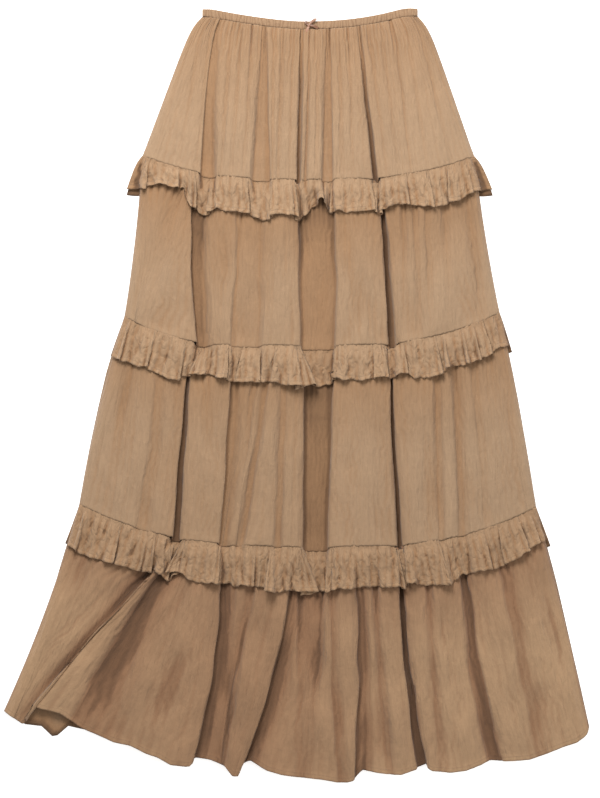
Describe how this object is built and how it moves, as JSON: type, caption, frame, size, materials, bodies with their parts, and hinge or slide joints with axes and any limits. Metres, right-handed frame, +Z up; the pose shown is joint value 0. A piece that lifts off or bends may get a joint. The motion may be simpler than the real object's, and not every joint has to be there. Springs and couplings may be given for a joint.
{
  "type": "tiered ruffle skirt",
  "caption": "Long gathered skirt with an elastic waistband, a small ribbon bow, tiers that widen to the hem and a narrow ruffle in each seam, laid flat on its back.",
  "frame": {"origin": "middle of the laid garment's box, on the floor that it lies on", "axes": "+Z up from the floor, +Y along the garment from hem to waist, +X to the right of someone who looks down on its front"},
  "size_m": [0.7514, 0.9943, 0.0348],
  "materials": {
    "cloth": "crinkled plain-weave cotton gauze, matt, tan",
    "ribbon": "narrow satin ribbon, soft sheen, pinkish tan"
  },
  "bodies": {
    "root": {"waistband": "cloth", "tier1_front": "cloth", "tier1_back": "cloth", "tier2_front": "cloth", "tier2_back": "cloth", "tier3_front": "cloth", "tier3_back": "cloth", "tier4_front": "cloth", "tier4_back": "cloth", "ruffle1_front": "cloth", "ruffle1_back": "cloth", "ruffle2_front": "cloth", "ruffle2_back": "cloth", "ruffle3_front": "cloth", "ruffle3_back": "cloth", "bow": "ribbon"}
  },
  "joints": []
}
